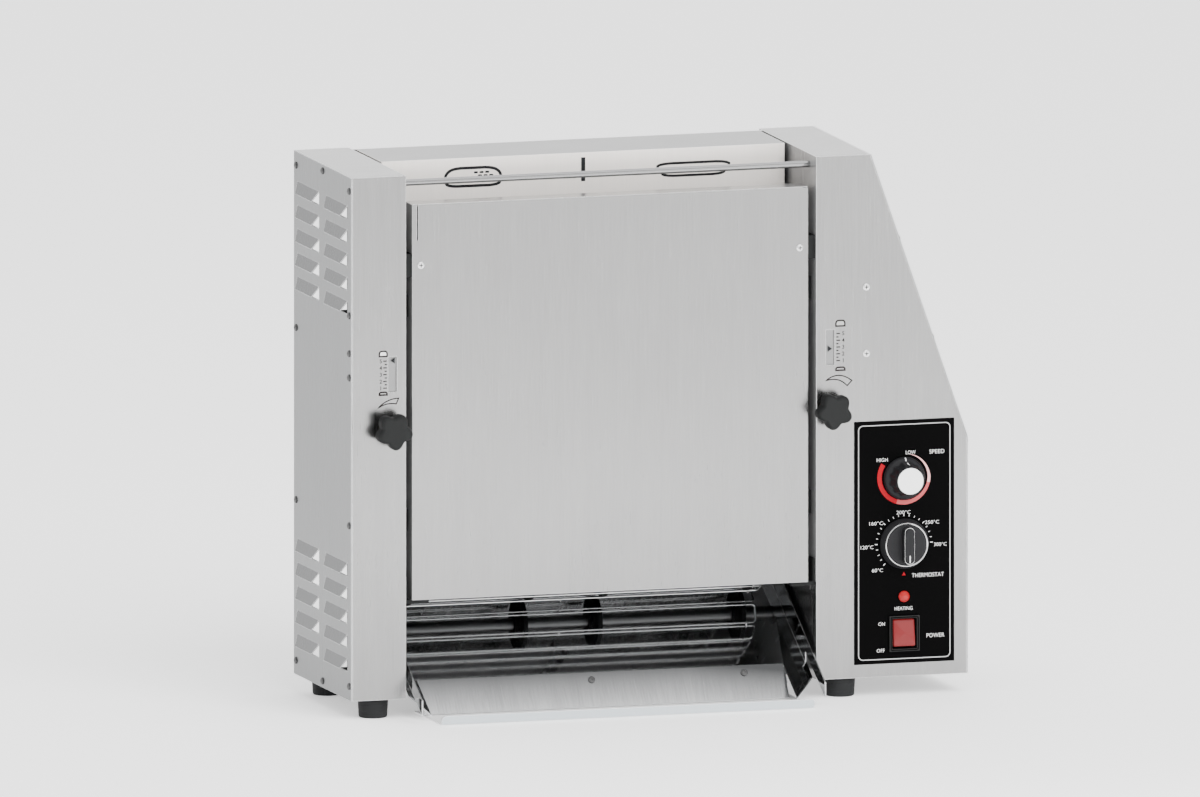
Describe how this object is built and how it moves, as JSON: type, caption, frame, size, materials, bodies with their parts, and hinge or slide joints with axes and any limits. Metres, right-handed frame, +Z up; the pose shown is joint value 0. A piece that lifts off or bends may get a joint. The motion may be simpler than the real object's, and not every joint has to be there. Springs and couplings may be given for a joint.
{
  "type": "vertical bun toaster",
  "caption": "Vertical contact bun toaster in brushed steel, with a wire belt behind a heated front, side thickness adjusters, a sloped discharge chute and a control panel.",
  "frame": {"origin": "on the counter, under the middle of the object's box", "axes": "+X to the right as the user faces the controls, +Y to the back, +Z up"},
  "size_m": [0.5842, 0.2436, 0.4935],
  "materials": {
    "casing_steel": "vertical brushed stainless steel",
    "bright_steel": "bright stainless steel",
    "dark_steel": "dull mild steel",
    "screw_steel": "dark screw steel",
    "platen_aluminium": "machined aluminium",
    "insulation": "rigid insulation board",
    "heater_sheath": "oxidised heater sheath",
    "brass": "turned bearing brass",
    "foot_rubber": "matt black rubber",
    "knob_plastic": "matt black plastic",
    "panel_film": "black printed film",
    "thermostat_chrome": "black plastic with a chrome trim",
    "red_lens": "translucent red plastic",
    "slider_steel": "grey zinc plate",
    "motor_grey": "grey cast and painted housing",
    "circuit_case": "moulded electronics case"
  },
  "bodies": {
    "toaster": {"left_housing": "casing_steel", "left_side_panel": "casing_steel", "right_housing": "casing_steel", "right_side_panel": "casing_steel", "right_rear_panel": "casing_steel", "front_cover": "casing_steel", "rear_panel": "casing_steel", "feed_deflector": "bright_steel", "guard_rod": "bright_steel", "chute_nose": "bright_steel", "landing_tray": "bright_steel", "cover_screws": "bright_steel", "controller_screws": "bright_steel", "wire_belt": "bright_steel", "base_pan": "dark_steel", "bun_chute": "dark_steel", "cover_brackets": "dark_steel", "platen_brackets": "dark_steel", "motor_bracket": "dark_steel", "left_panel_screws": "screw_steel", "right_panel_screws": "screw_steel", "chute_screws": "screw_steel", "platen": "platen_aluminium", "insulation_board": "insulation", "heating_elements": "heater_sheath", "thermostat_bulb": "brass", "shaft_bearings": "brass", "knob_bushes": "brass", "feet": "foot_rubber", "drive_belt": "foot_rubber", "switch_body": "knob_plastic", "cable_gland": "knob_plastic", "speed_potentiometer": "knob_plastic", "thermostat_body": "knob_plastic", "control_overlay": "panel_film", "heating_lamp": "red_lens", "gear_motor": "motor_grey", "speed_controller": "circuit_case"},
    "left_adjuster": {"left_knob": "knob_plastic", "left_knob_shaft": "bright_steel"},
    "right_adjuster": {"right_knob": "knob_plastic", "right_knob_shaft": "bright_steel"},
    "left_slide": {"left_slider": "slider_steel", "left_cam_bar": "dark_steel"},
    "right_slide": {"right_slider": "slider_steel", "right_cam_bar": "dark_steel"},
    "left_plate": {"left_pressure_plate": "bright_steel"},
    "right_plate": {"right_pressure_plate": "bright_steel"},
    "drive": {"drive_shaft": "bright_steel", "drive_rollers": "dark_steel", "shaft_pulley": "dark_steel"},
    "idler": {"idler_shaft": "bright_steel", "idler_rollers": "dark_steel"},
    "motor_output": {"motor_pulley": "dark_steel"},
    "speed_dial": {"speed_knob": "knob_plastic"},
    "thermostat_dial": {"thermostat_knob": "thermostat_chrome"},
    "rocker": {"power_rocker": "red_lens"}
  },
  "joints": [
    {"name": "left_plate_travel", "type": "slide", "parent": "toaster", "child": "left_plate", "axis": [0, 1, 0], "range_m": [-0.0123, 0]},
    {"name": "left_pointer_travel", "type": "slide", "parent": "toaster", "child": "left_slide", "axis": [0, 0, 1], "range_m": [-0.02461, 0.00001]},
    {"name": "left_knob_turn", "type": "hinge", "parent": "toaster", "child": "left_adjuster", "pos_m": [-0.25422, -0.06621, 0.264], "axis": [0, 1, 0], "range_deg": [-282.1, 0.2]},
    {"name": "right_plate_travel", "type": "slide", "parent": "toaster", "child": "right_plate", "axis": [0, 1, 0], "range_m": [-0.00553, 0.00677]},
    {"name": "right_pointer_travel", "type": "slide", "parent": "toaster", "child": "right_slide", "axis": [0, 0, 1], "range_m": [-0.01108, 0.01354]},
    {"name": "right_knob_turn", "type": "hinge", "parent": "toaster", "child": "right_adjuster", "pos_m": [0.15957, -0.06621, 0.264], "axis": [0, 1, 0], "range_deg": [-127.05, 155.24]},
    {"name": "drive_turn", "type": "hinge", "parent": "toaster", "child": "drive", "pos_m": [-0.04503, 0.03703, 0.1105], "axis": [1, 0, 0], "continuous": true},
    {"name": "idler_turn", "type": "hinge", "parent": "toaster", "child": "idler", "pos_m": [-0.04503, 0.03703, 0.406], "axis": [1, 0, 0], "continuous": true},
    {"name": "motor_turn", "type": "hinge", "parent": "toaster", "child": "motor_output", "pos_m": [0.16298, 0.03703, 0.2248], "axis": [1, 0, 0], "continuous": true},
    {"name": "speed_turn", "type": "hinge", "parent": "toaster", "child": "speed_dial", "pos_m": [0.23008, -0.06621, 0.1977], "axis": [0, 1, 0], "range_deg": [0, 300]},
    {"name": "thermostat_turn", "type": "hinge", "parent": "toaster", "child": "thermostat_dial", "pos_m": [0.23008, -0.06621, 0.1382], "axis": [0, 1, 0], "range_deg": [0, 270]},
    {"name": "power_tip", "type": "hinge", "parent": "toaster", "child": "rocker", "pos_m": [0.23008, -0.06221, 0.0565], "axis": [1, 0, 0], "range_deg": [0, 16]}
  ],
  "couplings": [
    {"joint": "left_pointer_travel", "follows": "left_plate_travel", "ratio": 2},
    {"joint": "left_knob_turn", "follows": "left_plate_travel", "rad_per_m": 400},
    {"joint": "right_pointer_travel", "follows": "right_plate_travel", "ratio": 2},
    {"joint": "right_knob_turn", "follows": "right_plate_travel", "rad_per_m": 400},
    {"joint": "idler_turn", "follows": "drive_turn", "ratio": 1},
    {"joint": "motor_turn", "follows": "drive_turn", "ratio": 1}
  ]
}
